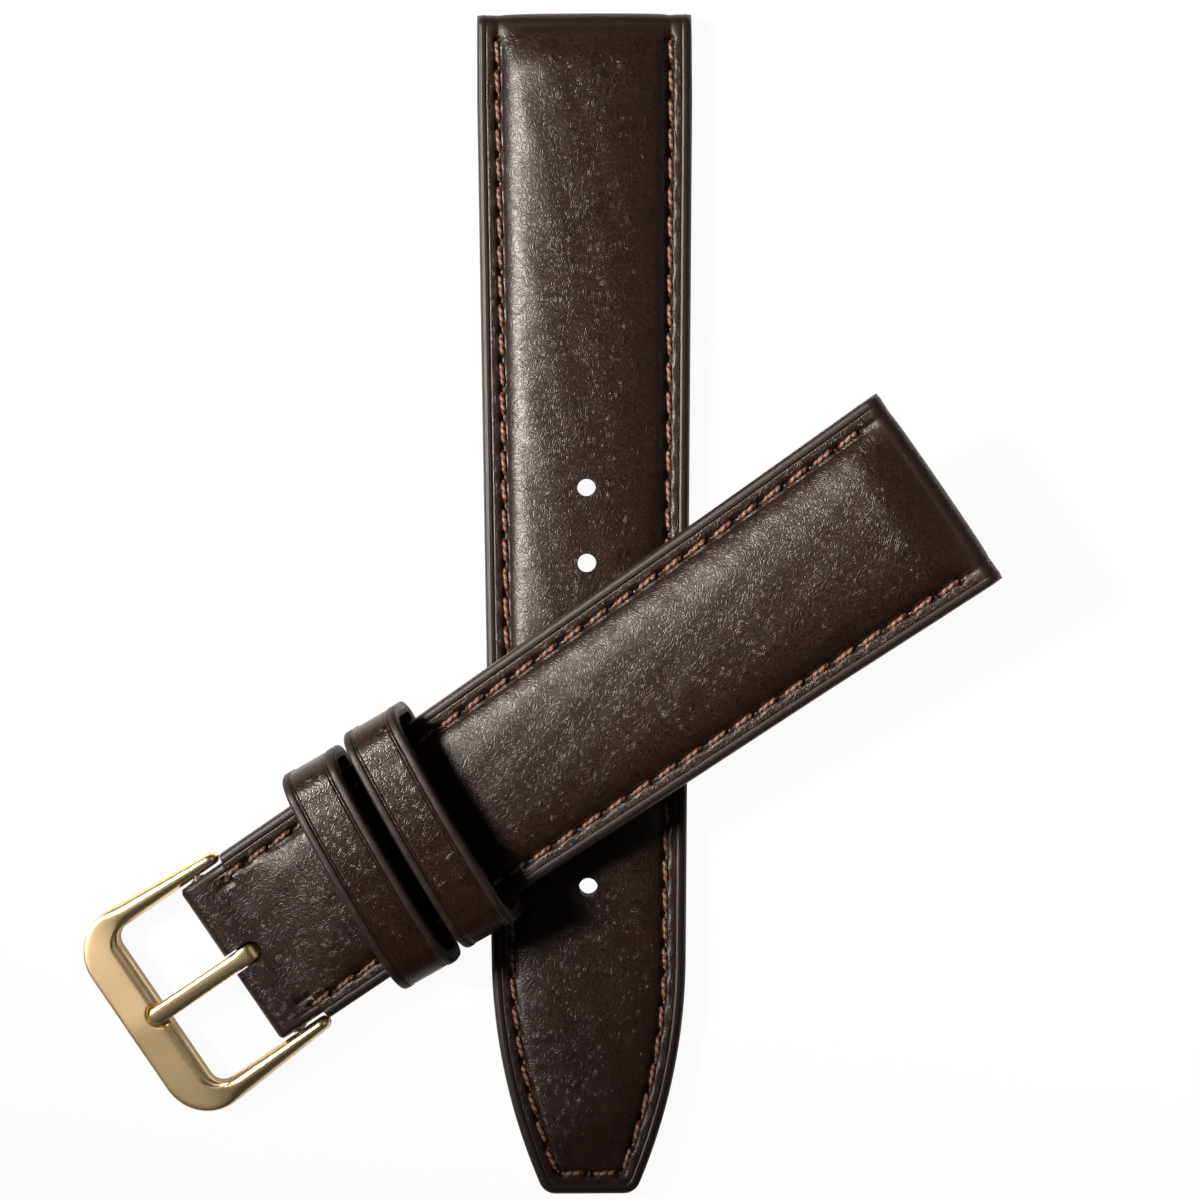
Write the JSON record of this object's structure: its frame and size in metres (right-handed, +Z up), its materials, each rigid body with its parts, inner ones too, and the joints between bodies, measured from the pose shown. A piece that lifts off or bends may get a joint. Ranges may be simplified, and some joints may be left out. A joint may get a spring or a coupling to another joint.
{
  "type": "leather watch strap",
  "caption": "Two-piece padded leather watch strap with contrast stitching, tapered sides, leather keepers and a pin buckle on a sprung bar, one half laid across the other.",
  "frame": {"origin": "middle of the long half's underside, on the surface that the strap lies on", "axes": "+Y along the long half towards its lug end, +X across it, +Z up"},
  "size_m": [0.0837, 0.1094, 0.0155],
  "materials": {
    "grained_leather": "fine wrinkled grain, low sheen",
    "lining_leather": "smooth, matt",
    "padding": "pressed fibre",
    "thread": "twisted, waxed",
    "steel": "fine turned",
    "pale_gold": "satin top with polished edges"
  },
  "bodies": {
    "long_half": {"long_upper": "grained_leather", "long_padding": "padding", "long_lining": "lining_leather", "long_reinforcement": "padding", "long_needle_thread": "thread", "long_bobbin_thread": "thread"},
    "short_half": {"short_upper": "grained_leather", "short_padding": "padding", "short_lining": "lining_leather", "short_reinforcement": "padding", "short_needle_thread": "thread", "short_bobbin_thread": "thread", "fixed_keeper_outer": "grained_leather", "fixed_keeper_lining": "lining_leather", "spring_bar_tube": "steel", "spring_bar_spring": "steel"},
    "free_keeper": {"free_keeper_outer": "grained_leather", "free_keeper_lining": "lining_leather"},
    "buckle_frame": {"buckle_frame": "pale_gold"},
    "buckle_tongue": {"buckle_tongue": "pale_gold"},
    "spring_pin_left": {"spring_bar_pin_left": "steel"},
    "spring_pin_right": {"spring_bar_pin_right": "steel"}
  },
  "joints": [
    {"name": "short_half_lift", "type": "slide", "parent": "long_half", "child": "short_half", "axis": [0, 0, 1], "range_m": [0, 0.05]},
    {"name": "free_keeper_slide", "type": "slide", "parent": "short_half", "child": "free_keeper", "axis": [0.82, 0.5552, 0.1392], "range_m": [-0.0013, 0.005]},
    {"name": "buckle_frame_hinge", "type": "hinge", "parent": "short_half", "child": "buckle_frame", "pos_m": [-0.03141, -0.03222, 0.00292], "axis": [-0.5606, 0.8281, 0], "range_deg": [-90, 35]},
    {"name": "buckle_tongue_hinge", "type": "hinge", "parent": "buckle_frame", "child": "buckle_tongue", "pos_m": [-0.03141, -0.03222, 0.00292], "axis": [-0.5606, 0.8281, 0], "range_deg": [0, 70]},
    {"name": "spring_pin_left_slide", "type": "slide", "parent": "short_half", "child": "spring_pin_left", "axis": [0.5606, -0.8281, 0], "range_m": [0, 0.0009], "stiffness_N_per_m": 500, "springref_m": -0.001, "deforming": ["spring_bar_spring"]},
    {"name": "spring_pin_right_slide", "type": "slide", "parent": "short_half", "child": "spring_pin_right", "axis": [-0.5606, 0.8281, 0], "range_m": [0, 0.0009], "stiffness_N_per_m": 500, "springref_m": -0.001}
  ]
}
